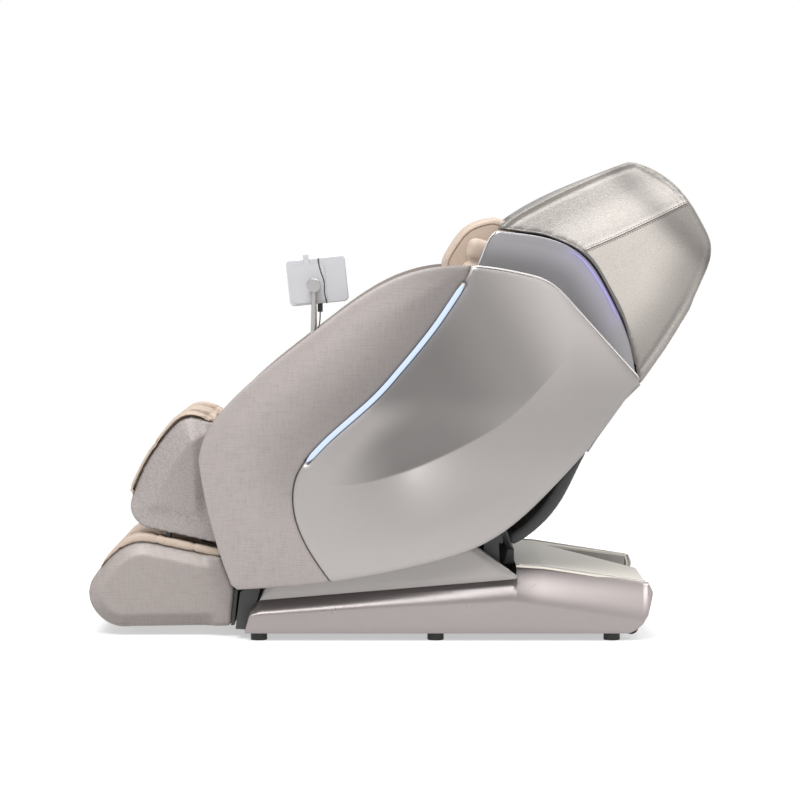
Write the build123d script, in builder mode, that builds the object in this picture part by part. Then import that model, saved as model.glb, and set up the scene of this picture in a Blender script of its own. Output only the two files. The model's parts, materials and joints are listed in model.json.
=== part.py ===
import os
from math import cos, radians, sin

from build123d import *

os.makedirs("parts", exist_ok=True)

# Widths, measured from the middle plane of the chair.
PANEL_IN = 331.0
PANEL_OUT = 386.0
TRIM_IN = 260.0
PLATE_IN = 250.0
PLATE_OUT = 256.0
BASE_HALF = 325.0
DECK_HALF = 292.0
HOOD_HALF = 290.0
CALF_HALF = 242.0
FOOT_HALF = 252.0

# Heights and pivots (x, z).
FOOT_HEIGHT = 20.0
TILT_PIVOT = (240.0, 262.0)
RECLINE_PIVOT = (170.0, 420.0)
CALF_PIVOT = (-425.0, 440.0)
PIN_RADIUS = 12.0
RUNNING_FIT = 0.06

# The back leans this far from upright; the foot rest slides out along its own axis.
BACK_LEAN = 15.5
FOOT_LEAN = 12.5

WHEEL_RADIUS = 20.0
WHEEL_X = 599.0
WHEEL_Y = 262.0
WHEEL_Z = 30.0
CABLE_RADIUS = 1.6


def save(piece, name):
    piece.part.label = name
    export_step(piece.part, f"parts/{name}.step")


def save_twins(left, name):
    save(left, f"{name}_left")
    with BuildPart() as right:
        mirror(left.part, about=Plane.XZ)
    save(right, f"{name}_right")


def side(distance):
    """Side-view plane at this distance from the middle, toward the left of the chair."""
    return Plane.XZ.offset(distance)


def area(*points, mode=Mode.ADD):
    Polygon(*points, align=None, mode=mode)


# ---------------------------------------------------------------- base

with BuildPart() as base_pan:
    with BuildSketch(Plane.XY.offset(FOOT_HEIGHT)):
        with Locations((117, 0)):
            Rectangle(930, 2 * DECK_HALF - 6)
        with Locations((WHEEL_X, WHEEL_Y), (WHEEL_X, -WHEEL_Y)):
            Rectangle(56, 30, mode=Mode.SUBTRACT)
    extrude(amount=5)
    with BuildSketch(Plane.XY.offset(FOOT_HEIGHT + 5)):
        with Locations((-220, 0), (60, 0), (330, 0)):
            Rectangle(30, 400)
    extrude(amount=8)
save(base_pan, "base_pan")


def base_side_face():
    with BuildLine() as rim:
        Spline((-389, FOOT_HEIGHT), (-377, 72), (-352, 103))
        Polyline((-352, 103), (305, 158), (305, 190))
        Spline((305, 190), (372, 187), (642, 146))
        Line((642, 146), (649, 128))
        Spline((649, 128), (638, 66), (590, FOOT_HEIGHT))
        Line((590, FOOT_HEIGHT), (-389, FOOT_HEIGHT))
    make_face(rim.edges())


# Stations along the side where the crease and the top edge are set (x, crease, top).
LEAN_STATIONS = ((-420, 62, 110), (-45, 86, 164), (300, 102, 192), (424, 84, 180), (680, 44, 136))

with BuildPart() as base_side_cover:
    with BuildSketch(side(DECK_HALF)):
        base_side_face()
    extrude(amount=BASE_HALF - DECK_HALF)
    for start, end in zip(LEAN_STATIONS[:-1], LEAN_STATIONS[1:]):
        for x, crease, top in (start, end):
            with BuildSketch(Plane.YZ.offset(x)):
                area((-BASE_HALF, crease), (-BASE_HALF - 5, crease), (-BASE_HALF - 5, top + 60),
                     (-DECK_HALF - 12, top + 60), (-DECK_HALF - 12, top))
        loft(ruled=True, mode=Mode.SUBTRACT)
    with Locations((655, -BASE_HALF, 90)):
        Box(34, 34, 200, rotation=(0, 0, 45), mode=Mode.SUBTRACT)
save_twins(base_side_cover, "base_side_cover")

# The pocket for the mains inlet is a wedge in plan, open to the rear.
POCKET_TIP = (404, 222)
POCKET_NEAR = (660, -38)
POCKET_FAR = (660, 284)

with BuildPart() as base_rear_deck:
    with BuildSketch(side(-DECK_HALF)):
        area((303, 186), (303, 191), (372, 187), (634, 148), (640, 128), (636, 60), (632, 60),
             (635, 126), (630, 143), (372, 182))
    extrude(amount=2 * DECK_HALF)
    with BuildSketch(Plane.XY.offset(96)):
        area(POCKET_TIP, POCKET_NEAR, POCKET_FAR)
    extrude(amount=120, mode=Mode.SUBTRACT)
save(base_rear_deck, "base_rear_deck")

# The inlet and the switch face the middle of the chair from the far wall of the pocket.
SWITCH_WALL = Plane(origin=(512, 248.2, 126), x_dir=(256, 62, 0), z_dir=(62, -256, 0))

with BuildPart() as inlet_tray:
    with BuildSketch(Plane.XY.offset(90)):
        area((396, 230), (630, -16), (630, 286), (396, 236))
    extrude(amount=88)
    with BuildSketch(Plane.XY.offset(94)):
        area(POCKET_TIP, POCKET_NEAR, POCKET_FAR)
    extrude(amount=120, mode=Mode.SUBTRACT)
    with BuildSketch(side(-DECK_HALF)):
        area((300, 190.5), (303, 185.9), (372, 181.9), (630, 142.9), (660, 138), (660, 260), (300, 260))
    extrude(amount=2 * DECK_HALF, mode=Mode.SUBTRACT)

    with BuildSketch(SWITCH_WALL):
        RectangleRounded(32, 20, 2)
        Rectangle(22.4, 14.4, mode=Mode.SUBTRACT)
    extrude(amount=6)
save(inlet_tray, "inlet_tray")

FAR_WALL = Plane(origin=(570, 262.2, 118), x_dir=(256, 62, 0), z_dir=(62, -256, 0))

with BuildPart() as power_inlet:
    with BuildSketch(FAR_WALL):
        RectangleRounded(48, 26, 3)
    extrude(amount=6)
    with BuildSketch(FAR_WALL.offset(6)):
        RectangleRounded(30, 18, 3)
    extrude(amount=-5, mode=Mode.SUBTRACT)
    with BuildSketch(FAR_WALL.offset(1)):
        with GridLocations(8, 1, 3, 1):
            Rectangle(2, 5)
    extrude(amount=4)
save(power_inlet, "power_inlet")

with BuildPart() as power_rocker:
    with BuildSketch(SWITCH_WALL.offset(2.2)):
        Rectangle(20, 13.6)
    extrude(amount=5.2)
    chamfer(power_rocker.faces().sort_by(Axis.Y)[0].edges(), 0.8)
save(power_rocker, "power_rocker")

with BuildPart() as base_front_cover:
    with BuildSketch(side(-DECK_HALF + 0.5)):
        area((-415, 27), (-403, 121), (-352, 148), (-346, 148), (-380, 25))
    extrude(amount=2 * DECK_HALF - 1)
save(base_front_cover, "base_front_cover")

with BuildPart() as wing_cover:
    with BuildSketch(side(300)):
        area((-352, 104), (305, 159), (305, 166), (203, 240), (150, 262), (-180, 215), (-330, 150))
    extrude(amount=28)
    chamfer(wing_cover.faces().sort_by(Axis.Y)[0].edges(), 4)
save_twins(wing_cover, "wing_cover")

with BuildPart() as rubber_feet:
    with BuildSketch():
        with Locations((-355, 0), (97, 0), (548, 0)):
            with GridLocations(0, 576, 1, 2):
                Circle(21)
    extrude(amount=FOOT_HEIGHT)
save(rubber_feet, "rubber_feet")

with BuildPart() as wheel_forks:
    with BuildSketch(Plane.XZ):
        with Locations((WHEEL_X, 34)):
            Rectangle(26, 26)
    extrude(amount=WHEEL_Y + 16, both=True)
    with BuildSketch(Plane.XZ):
        with Locations((WHEEL_X, 34)):
            Rectangle(30, 30)
    extrude(amount=WHEEL_Y - 16, both=True, mode=Mode.SUBTRACT)
    with BuildSketch(Plane.XZ):
        with Locations((WHEEL_X, WHEEL_Z)):
            Circle(WHEEL_RADIUS + 3)
    extrude(amount=WHEEL_Y + 11, both=True, mode=Mode.SUBTRACT)
save(wheel_forks, "wheel_forks")

with BuildPart() as slide_rails:
    with BuildSketch(Plane.XY.offset(FOOT_HEIGHT + 5)):
        with Locations((-45, 269), (-45, -269)):
            Rectangle(590, 18)
    extrude(amount=13)
save(slide_rails, "slide_rails")

with BuildPart() as control_box:
    with BuildSketch(Plane.XY.offset(FOOT_HEIGHT + 13)):
        with Locations((200, 60)):
            RectangleRounded(210, 150, 8)
    extrude(amount=62)
    chamfer(control_box.faces().sort_by(Axis.Z)[-1].edges(), 4)
save(control_box, "control_box")

with BuildPart() as air_pump:
    with BuildSketch(Plane.XY.offset(FOOT_HEIGHT + 13)):
        with Locations((440, -130)):
            RectangleRounded(170, 120, 14)
    extrude(amount=58)
    with BuildSketch(Plane.XZ.offset(70)):
        with Locations((400, 66), (480, 66)):
            Circle(6)
    extrude(amount=-26)
save(air_pump, "air_pump")

# ---------------------------------------------------------------- carriage that runs on the rails

with BuildPart() as carriage_side:
    with BuildSketch(side(261)):
        area((-230, 39), (262, 39), (262, 62), (214, 62), (-230, 60))
        area((212, 60), (268, 60), (258, 262), (222, 262))
        with Locations(TILT_PIVOT):
            Circle(24)
            Circle(PIN_RADIUS + RUNNING_FIT, mode=Mode.SUBTRACT)
    extrude(amount=16)
    mirror(about=Plane.XZ)
save(carriage_side, "carriage_sides")

with BuildPart() as carriage_crossbar:
    with BuildSketch(Plane.XZ):
        with Locations((-210, 50), (234, 118)):
            Circle(9)
            Circle(7, mode=Mode.SUBTRACT)
    extrude(amount=261, both=True)
save(carriage_crossbar, "carriage_crossbars")

# ---------------------------------------------------------------- seat, arms and outer panels


def panel_face():
    with BuildLine() as rim:
        Spline((-501, 463), (-476, 545), (-428, 607), (-216, 786), (6, 929), (110, 954), (266, 946), (386, 919))
        Line((386, 919), (610, 671))
        Line((610, 671), (473, 488))
        Spline((473, 488), (370, 376), (229, 261), (65, 203), (-165, 159), (-405, 139))
        Line((-405, 139), (-420, 151))
        Spline((-420, 151), (-465, 283), (-501, 463))
    make_face(rim.edges())


def seam_line():
    return Spline((185, 957), (160, 900), (91, 800), (6, 695), (-62, 620), (-170, 524), (-254, 428),
                  (-262, 340), (-209, 214), (-163, 150))


def seam_region(width, mode):
    with BuildLine() as band:
        seam_line()
    trace(band.edges(), line_width=width, mode=mode)


def light_region(width, mode):
    with BuildLine() as band:
        Spline((167, 912), (91, 800), (6, 695), (-62, 620), (-170, 524), (-230, 462))
    trace(band.edges(), line_width=width, mode=mode)


def front_region(mode):
    with BuildLine() as band:
        curve = seam_line()
        Polyline(curve @ 1, (-700, 100), (-700, 1100), (150, 1100), curve @ 0)
    make_face(band.edges(), mode=mode)


with BuildPart() as side_panel_front:
    with BuildSketch(side(PANEL_IN)):
        panel_face()
        front_region(Mode.INTERSECT)
        seam_region(1.6, Mode.SUBTRACT)
        light_region(12.4, Mode.SUBTRACT)
    extrude(amount=PANEL_OUT - PANEL_IN)
save_twins(side_panel_front, "side_panel_front")

SCOOP_RADIUS = 430.0
SCOOP_DEPTH = 8.0

with BuildPart() as side_panel_rear:
    with BuildSketch(side(PANEL_IN)):
        panel_face()
        front_region(Mode.SUBTRACT)
        seam_region(1.6, Mode.SUBTRACT)
        light_region(12.4, Mode.SUBTRACT)
    extrude(amount=PANEL_OUT - PANEL_IN)
    with Locations(Location((170, -PANEL_OUT - SCOOP_RADIUS + SCOOP_DEPTH, 640), (0, -33, 0)) * Location(
            (0, 0, 0), (0, 0, -1.6))):
        Cylinder(SCOOP_RADIUS, 1500, rotation=(0, 90, 0), mode=Mode.SUBTRACT)
save_twins(side_panel_rear, "side_panel_rear")

with BuildPart() as led_strip:
    with BuildSketch(side(PANEL_IN + 30)):
        light_region(11.6, Mode.ADD)
    extrude(amount=17)
    mirror(about=Plane.XZ)
save(led_strip, "led_strips")

with BuildPart() as seat_side_plate:
    with BuildSketch(side(PLATE_IN)):
        area((-448, 420), (-448, 460), (-402, 460), (-330, 392), (60, 372), (120, 400), (148, 452),
             (192, 456), (216, 430), (270, 290), (270, 244), (214, 240), (190, 300), (120, 330),
             (-300, 345), (-402, 405))
        with Locations(RECLINE_PIVOT):
            Circle(PIN_RADIUS + RUNNING_FIT, mode=Mode.SUBTRACT)
    extrude(amount=10)
    with BuildSketch(side(246)):
        with Locations(TILT_PIVOT):
            Circle(PIN_RADIUS)
    extrude(amount=36)
    mirror(about=Plane.XZ)
save(seat_side_plate, "seat_side_plates")

with BuildPart() as calf_hinge_shaft:
    with BuildSketch(Plane.XZ):
        with Locations(CALF_PIVOT):
            Circle(PIN_RADIUS)
    extrude(amount=PLATE_IN, both=True)
save(calf_hinge_shaft, "calf_hinge_shaft")

with BuildPart() as seat_pan:
    with BuildSketch(side(-PLATE_IN)):
        area((-384, 396), (-330, 384), (60, 364), (100, 372), (98, 376), (60, 369), (-330, 389), (-383, 401))
    extrude(amount=2 * PLATE_IN)
save(seat_pan, "seat_pan")

with BuildPart() as seat_cushion:
    with BuildSketch(side(-246)) as seat_cushion_side:
        area((80, 452), (98, 430), (100, 376.5), (60, 369.5), (-330, 389.5), (-384, 401.5), (-384, 448),
             (-330, 470), (-190, 462), (-60, 452))
        fillet(seat_cushion_side.vertices().sort_by(Axis.Y)[-6:], 20)
    extrude(amount=492)
save(seat_cushion, "seat_cushion")

with BuildPart() as arm_trim:
    with BuildSketch(side(TRIM_IN)):
        with BuildLine():
            Polyline((-402, 396), (-462, 470), (-448, 528), (-404, 588), (-280, 692), (-205, 755), (-100, 834),
                     (-4, 894), (60, 916), (150, 914), (163, 880), (116, 480), (112, 404), (60, 380), (-402, 396))
        make_face()
    extrude(amount=PANEL_IN - TRIM_IN)

POST_AT = (-212.0, -305.0)

with BuildPart() as arm_trim_right:
    mirror(arm_trim.part, about=Plane.XZ)
save(arm_trim_right, "arm_trim_right")

with BuildPart() as arm_trim_left:
    add(arm_trim.part)
    with BuildSketch(Plane.XY.offset(715)):
        with Locations(POST_AT):
            Circle(20)
    extrude(amount=120, mode=Mode.SUBTRACT)
save(arm_trim_left, "arm_trim_left")

with BuildPart() as tablet_socket:
    with BuildSketch(Plane.XY.offset(715)):
        with Locations(POST_AT):
            Circle(20)
    extrude(amount=48)
    with BuildSketch(Plane.XY.offset(731)):
        with Locations(POST_AT):
            Circle(9 + RUNNING_FIT)
    extrude(amount=40, mode=Mode.SUBTRACT)
save(tablet_socket, "tablet_socket")

# ---------------------------------------------------------------- back

BACK = Location((RECLINE_PIVOT[0], 0, RECLINE_PIVOT[1]), (0, BACK_LEAN, 0))


def back_box(x_span, y_span, z_span, mode=Mode.ADD):
    """Box in the leaning frame of the back: depth, width and height from the recline pivot."""
    spans = (x_span, y_span, z_span)
    middle = tuple((low + high) / 2 for low, high in spans)
    with Locations(BACK * Location(middle)):
        Box(*(high - low for low, high in spans), mode=mode)


with BuildPart() as back_frame:
    for y in (-236, 226):
        back_box((-20, 40), (y, y + 10), (-26, 560))
    back_box((34, 40), (-226, 226), (-10, 560))
    back_box((-20, 34), (-226, 226), (552, 560))
    with BuildSketch(Plane.XZ):
        with Locations(RECLINE_PIVOT):
            Circle(PIN_RADIUS)
    extrude(amount=PLATE_OUT + 3.5, both=True)
    with BuildSketch(Plane.XZ):
        with Locations(RECLINE_PIVOT):
            Circle(PIN_RADIUS + 4)
    extrude(amount=228, both=True, mode=Mode.SUBTRACT)
save(back_frame, "back_frame")

with BuildPart() as back_track_rails:
    for y in (-166, 154):
        back_box((18, 34), (y, y + 12), (20, 545))
save(back_track_rails, "back_track_rails")


def hood_rim():
    with BuildLine() as rim:
        Spline((251, 1047), (314, 1095), (472, 1174), (590, 1220))
        Spline((590, 1220), (637, 1207), (714, 1152), (770, 1070), (797, 1004), (776, 922), (744, 845))
        Polyline((744, 845), (684, 746), (618, 652), (610, 678))
        Spline((610, 678), (578, 807), (539, 889), (480, 978), (390, 1026), (313, 1040), (251, 1047))
    make_face(rim.edges())


HOOD_WALL = 28.0


def lean_in(half_width):
    """The sides lean inward above the stitched seam."""
    with BuildSketch(Plane(origin=(200, 0, 850), x_dir=(0, 1, 0), z_dir=(271, 0, 126))) as wedge:
        for sign in (-1, 1):
            area((sign * half_width, 0), (sign * 310, 0), (sign * 310, 220), (sign * (half_width - 64), 220))
    extrude(wedge.sketch, amount=720, mode=Mode.SUBTRACT)


with BuildPart() as hood_cavity:
    with BuildSketch(side(HOOD_WALL - HOOD_HALF)):
        area((180, 1000), (270, 1048), (320, 1068), (470, 1142), (590, 1188), (625, 1176), (688, 1130),
             (740, 1060), (764, 1004), (744, 930), (718, 868), (660, 765), (596, 668), (560, 600), (200, 700))
    extrude(amount=2 * (HOOD_HALF - HOOD_WALL))
    lean_in(HOOD_HALF - HOOD_WALL)

with BuildPart() as hood_shell:
    with BuildSketch(side(-HOOD_HALF)):
        hood_rim()
    extrude(amount=2 * HOOD_HALF)
    lean_in(HOOD_HALF)
    add(hood_cavity.part, mode=Mode.SUBTRACT)
    with BuildSketch(side(-168)):
        area((180, 1000), (302, 1000), (302, 1110), (180, 1110))
    extrude(amount=336, mode=Mode.SUBTRACT)
save(hood_shell, "hood_shell")

with BuildPart() as accent_panel:
    with BuildSketch(side(263)):
        with BuildLine():
            Spline((252, 1044), (225, 1010), (196, 930))
            Polyline((196, 930), (176, 800), (150, 620), (140, 500), (300, 500), (466, 500), (586, 668), (606, 678))
            Spline((606, 678), (575, 806), (536, 886), (477, 975), (388, 1023), (312, 1037), (252, 1044))
        make_face()
    extrude(amount=20)
save_twins(accent_panel, "accent_panel")

with BuildPart() as accent_lights:
    with BuildSketch(side(-286.5)):
        with BuildLine() as glow:
            Spline((438, 996), (474, 972), (532, 884), (570, 806))
        trace(glow.edges(), line_width=5)
    extrude(amount=573)
    with BuildSketch(side(-283)):
        Rectangle(2000, 4000)
    extrude(amount=566, mode=Mode.SUBTRACT)
save(accent_lights, "accent_lights")

with BuildPart() as rear_cover:
    with BuildSketch(side(-284)):
        area((618, 651), (580, 614), (510, 517), (486, 480), (468, 488), (488, 520), (560, 618), (588, 658), (612, 668))
    extrude(amount=568)
    with BuildSketch(side(-284)):
        area((589, 668), (466, 500), (400, 560), (560, 700))
    extrude(amount=568, mode=Mode.SUBTRACT)
    # Cooling slots.
    with BuildSketch(Plane(origin=(545, 0, 566), x_dir=(0, 1, 0), z_dir=(97, 0, -70))):
        with GridLocations(0, 16, 1, 5):
            SlotOverall(380, 6)
    extrude(amount=60, both=True, mode=Mode.SUBTRACT)
save(rear_cover, "rear_cover")

with BuildPart() as lower_back_cover:
    with BuildSketch(side(-246)):
        with BuildLine():
            Spline((484, 476), (455, 418), (422, 354), (378, 297), (317, 248), (294, 236))
            Polyline((294, 236), (286, 262))
            Spline((286, 262), (352, 316), (410, 400), (448, 486))
            Line((448, 486), (484, 476))
        make_face()
    extrude(amount=492)
save(lower_back_cover, "lower_back_cover")

with BuildPart() as back_cushion:
    back_box((-144, -70), (-224, 224), (33, 590))
    fillet(back_cushion.edges().filter_by(Axis.Y), 14)
save(back_cushion, "back_cushion")

with BuildPart() as head_pillow:
    with BuildSketch(side(-150)):
        with BuildLine():
            Spline((136, 905), (121, 955), (141, 999), (174, 1043), (208, 1063), (253, 1072), (278, 1062))
            Polyline((278, 1062), (272, 1006), (189, 1032), (153, 902), (136, 905))
        make_face()
    extrude(amount=300)
save(head_pillow, "head_pillow")

with BuildPart() as shoulder_pads:
    for y in (-222, 160):
        back_box((-206, -144.5), (y, y + 62), (330, 452))
    chamfer(shoulder_pads.faces().group_by(Axis.X)[0].edges(), 12)
save(shoulder_pads, "shoulder_pads")

with BuildPart() as massage_carriage:
    back_box((-20, 17.5), (-118, 118), (62, 188))
    back_box((-3, 17.5), (-152, 152), (74, 92))
    back_box((-3, 17.5), (-152, 152), (158, 176))
    with Locations(BACK * Location((-30, 0, 125), (90, 0, 0))):
        Cylinder(9, 250)
    back_box((-42, -20), (-60, 60), (90, 160))
save(massage_carriage, "massage_carriage")

ARM_PIVOT = BACK * Location((-30, 0, 125))
ARM_REACH = 46.0

with BuildPart() as massage_arm:
    with BuildSketch(Plane((ARM_PIVOT * Location((0, -125.5, 0), (90, 0, 0))))):
        SlotCenterToCenter(2 * ARM_REACH, 26, rotation=90)
        Circle(16)
    extrude(amount=8)
    with BuildSketch(Plane((ARM_PIVOT * Location((0, -133.5, 0), (90, 0, 0))))):
        with Locations((0, ARM_REACH), (0, -ARM_REACH)):
            Circle(4)
    extrude(amount=18)
save_twins(massage_arm, "massage_arm")

with BuildPart() as massage_rollers:
    with BuildSketch(Plane((ARM_PIVOT * Location((0, -134, 0), (90, 0, 0))))):
        with Locations((0, ARM_REACH), (0, -ARM_REACH)):
            Circle(20)
            Circle(4, mode=Mode.SUBTRACT)
    extrude(amount=16)
    fillet(massage_rollers.edges().filter_by(GeomType.CIRCLE).sort_by(SortBy.RADIUS)[-4:], 5)
save_twins(massage_rollers, "massage_rollers")

# ---------------------------------------------------------------- calf rest


def calf_face():
    with BuildLine() as rim:
        Spline((-462, 540), (-500, 560), (-541, 566), (-592, 527), (-648, 447), (-682, 369), (-689, 333),
               (-672, 298), (-638, 280))
        Polyline((-638, 280), (-471, 243), (-458, 246), (-462, 540))
    make_face(rim.edges())


def calf_channel(floor_lift, wall):
    """Two channels for the lower legs; the pads leave a smaller opening of the same form."""
    with BuildSketch(side(197 - wall)) as well:
        area((-462 - floor_lift, 566), (-612 - floor_lift, 262), (-640 - floor_lift, 180),
             (-900, 180), (-900, 700), (-395 - floor_lift, 700))
    extrude(well.sketch, amount=-(155 - 2 * wall), mode=Mode.SUBTRACT)


ROD_Y = 219.0
ROD_AT = (-560.0, 400.0)
ROD_PLANE = Location((ROD_AT[0], 0, ROD_AT[1]), (0, FOOT_LEAN, 0))

with BuildPart() as calf_shell:
    with BuildSketch(side(-CALF_HALF)):
        calf_face()
    extrude(amount=2 * CALF_HALF)
    calf_channel(0, 0)
    mirror(about=Plane.XZ, mode=Mode.INTERSECT)
    for y in (-212, 212):
        with BuildSketch(side(-y - 12)):
            area((-470, 424), (CALF_PIVOT[0], 419), (CALF_PIVOT[0], 461), (-470, 456))
            with Locations(CALF_PIVOT):
                Circle(21)
        extrude(amount=24)
    with BuildSketch(Plane.XZ):
        with Locations(CALF_PIVOT):
            Circle(PIN_RADIUS + RUNNING_FIT)
    extrude(amount=CALF_HALF, both=True, mode=Mode.SUBTRACT)
    for y in (-ROD_Y, ROD_Y):
        with Locations(ROD_PLANE * Location((0, y, -60))):
            Cylinder(8 + RUNNING_FIT, 280, mode=Mode.SUBTRACT)
save(calf_shell, "calf_shell")

with BuildPart() as calf_pad:
    with BuildSketch(side(-236)):
        with BuildLine():
            Spline((-478, 560), (-506, 574), (-548, 578), (-601, 535), (-658, 452), (-691, 385))
            Polyline((-691, 385), (-678, 312), (-650, 284), (-600, 272.5), (-470, 520), (-478, 560))
        make_face()
    extrude(amount=472)
    add(calf_shell.part, mode=Mode.SUBTRACT)
    calf_channel(16, 14)
    mirror(about=Plane.XZ, mode=Mode.INTERSECT)
    for y in (-ROD_Y, ROD_Y):
        with Locations(ROD_PLANE * Location((0, y, -60))):
            Cylinder(8 + RUNNING_FIT, 280, mode=Mode.SUBTRACT)
save(calf_pad, "calf_pad")

# ---------------------------------------------------------------- foot rest


def foot_face():
    with BuildLine() as rim:
        Spline((-785, 152), (-737, 210), (-690, 240), (-638, 244))
        Polyline((-638, 244), (-454, 205), (-420, 121), (-430, 28), (-691, 24))
        Spline((-691, 24), (-765, 46), (-795, 92), (-785, 152))
    make_face(rim.edges())


def foot_well(pad):
    with BuildSketch(side(200 - pad)) as well:
        area((-754 + pad, 130), (-742 + pad, 84 + pad), (-552, 62 + pad), (-508 - pad, 92 + pad),
             (-500 - pad, 400), (-716 + pad, 400), (-716 + pad, 190))
    extrude(well.sketch, amount=-(160 - 2 * pad), mode=Mode.SUBTRACT)


with BuildPart() as foot_shell:
    with BuildSketch(side(-FOOT_HALF)):
        foot_face()
    extrude(amount=2 * FOOT_HALF)
    foot_well(0)
    mirror(about=Plane.XZ, mode=Mode.INTERSECT)
    for y in (-ROD_Y, ROD_Y):
        with Locations(ROD_PLANE * Location((0, y, -190))):
            Cylinder(8, 180, mode=Mode.SUBTRACT)
save(foot_shell, "foot_shell")

with BuildPart() as foot_pad:
    with BuildSketch(side(-240)):
        with BuildLine():
            Spline((-772, 172), (-735, 224), (-696, 256), (-668, 268))
            Polyline((-668, 268), (-640, 266), (-454, 224), (-454, 205), (-530, 60), (-742, 60), (-772, 172))
        make_face()
    extrude(amount=480)
    add(foot_shell.part, mode=Mode.SUBTRACT)
    foot_well(14)
    mirror(about=Plane.XZ, mode=Mode.INTERSECT)
    for y in (-ROD_Y, ROD_Y):
        with Locations(ROD_PLANE * Location((0, y, -190))):
            Cylinder(8.5, 200, mode=Mode.SUBTRACT)
save(foot_pad, "foot_pad")

with BuildPart() as foot_rods:
    for y in (-ROD_Y, ROD_Y):
        with Locations(ROD_PLANE * Location((0, y, -105))):
            Cylinder(8, 350)
save(foot_rods, "foot_rods")

with BuildPart() as foot_rear_cover:
    with BuildSketch(side(-FOOT_HALF + 2)):
        area((-419.5, 120), (-429.5, 30), (-421, 30), (-411, 120))
    extrude(amount=2 * FOOT_HALF - 4)
save(foot_rear_cover, "foot_rear_cover")

# ---------------------------------------------------------------- tablet on its post

TILT_Z = 905.0
TABLET_BACK = -285.0

with BuildPart() as tablet_post:
    with BuildSketch(Plane.XY.offset(731)):
        with Locations(POST_AT):
            Circle(9)
    extrude(amount=36)
    with BuildSketch(Plane.XY.offset(767)):
        with Locations(POST_AT):
            Circle(18)
    extrude(amount=9)
    with BuildSketch(Plane.XY.offset(776)):
        with Locations(POST_AT):
            Circle(9)
    with BuildSketch(Plane.XY.offset(884)):
        with Locations(POST_AT):
            Circle(6)
    loft()
    with BuildSketch(Plane.XY.offset(884)):
        with Locations(POST_AT):
            Circle(6)
    extrude(amount=16)
    with Locations(Location((POST_AT[0], POST_AT[1], TILT_Z), (0, 90, 0))):
        Cylinder(11, 20)
        Cylinder(4 + RUNNING_FIT, 24, mode=Mode.SUBTRACT)
    with BuildSketch(side(-POST_AT[1] + 9)):
        with Locations((POST_AT[0], TILT_Z)):
            Circle(6)
    extrude(amount=5)
save(tablet_post, "tablet_post")

with BuildPart() as tablet_knob:
    with BuildSketch(side(-POST_AT[1] + 14.2)):
        with Locations((POST_AT[0], TILT_Z)):
            Circle(18)
    extrude(amount=15)
    chamfer(tablet_knob.faces().sort_by(Axis.Y)[0].edges(), 1.2)
save(tablet_knob, "tablet_knob")

with BuildPart() as tablet_holder:
    with BuildSketch(Plane.YZ.offset(POST_AT[0])):
        with Locations((POST_AT[1], TILT_Z)):
            Circle(10)
        area((POST_AT[1], TILT_Z - 8), (TABLET_BACK - 3, TILT_Z - 8), (TABLET_BACK - 3, TILT_Z + 8),
             (POST_AT[1], TILT_Z + 8))
    extrude(amount=14.5, both=True)
    with BuildSketch(Plane.YZ.offset(POST_AT[0])):
        with Locations((POST_AT[1], TILT_Z)):
            Circle(12.5)
    extrude(amount=10.3, both=True, mode=Mode.SUBTRACT)
    with Locations(Location((POST_AT[0], POST_AT[1], TILT_Z), (0, 90, 0))):
        Cylinder(4, 29)
    with BuildSketch(side(-TABLET_BACK)):
        with Locations(Location((-226, 910), 6)):
            RectangleRounded(86, 96, 10)
        with Locations(Location((-230, 950), 6)):
            Rectangle(14, 64)
    extrude(amount=3.5)
    with BuildSketch(side(-TABLET_BACK - 12)):
        with Locations(Location((-233.5, 979), 6)):
            Rectangle(14, 7)
    extrude(amount=15.5)
save(tablet_holder, "tablet_holder")

with BuildPart() as tablet_body:
    with BuildSketch(side(-TABLET_BACK - 10)):
        with Locations(Location((-204, 917), 6)):
            RectangleRounded(150, 117, 12)
    extrude(amount=10)
    fillet(tablet_body.faces().sort_by(Axis.Y)[0].edges(), 2.5)
    with BuildSketch(side(-TABLET_BACK - 10)):
        with Locations(Location((-204, 917), 6)):
            RectangleRounded(142, 109, 8)
    extrude(amount=1.2, mode=Mode.SUBTRACT)
save(tablet_body, "tablet_body")

with BuildPart() as tablet_screen:
    with BuildSketch(side(-TABLET_BACK - 10)):
        with Locations(Location((-204, 917), 6)):
            RectangleRounded(142, 109, 8)
    extrude(amount=1.2)
save(tablet_screen, "tablet_screen")

PLUG_AT = (-197.0, -280.0)
PLUG_LOW = 838.0

with BuildPart() as tablet_plug:
    with BuildSketch(Plane.XY.offset(PLUG_LOW)):
        with Locations(PLUG_AT):
            RectangleRounded(13, 8, 2)
    extrude(amount=30)
    add(tablet_body.part, mode=Mode.SUBTRACT)
    add(tablet_screen.part, mode=Mode.SUBTRACT)
save(tablet_plug, "tablet_plug")

CABLE_POINTS = ((-197.0, -280.0, 838.0), (-197.0, -280.0, 812.0), (-203.0, -294.0, 792.0), (-203.0, -294.0, 776.0))


def bend_radii(points):
    radii = []
    for before, corner, after in zip(points[:-2], points[1:-1], points[2:]):
        arriving = Vector(*corner) - Vector(*before)
        leaving = Vector(*after) - Vector(*corner)
        half_turn = radians(arriving.get_angle(leaving)) / 2
        shorter = min(arriving.length, leaving.length)
        radii.append(0.45 * shorter * cos(half_turn) / sin(half_turn))
    return radii


radii = bend_radii(CABLE_POINTS)
print("cable bend radii", radii)

with BuildPart() as tablet_cable:
    with BuildLine():
        FilletPolyline(*CABLE_POINTS, radius=radii)
    with BuildSketch(Plane(origin=CABLE_POINTS[0], z_dir=(0, 0, -1))):
        Circle(CABLE_RADIUS)
    sweep()
save(tablet_cable, "tablet_cable")

# ---------------------------------------------------------------- transport wheels

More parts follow.
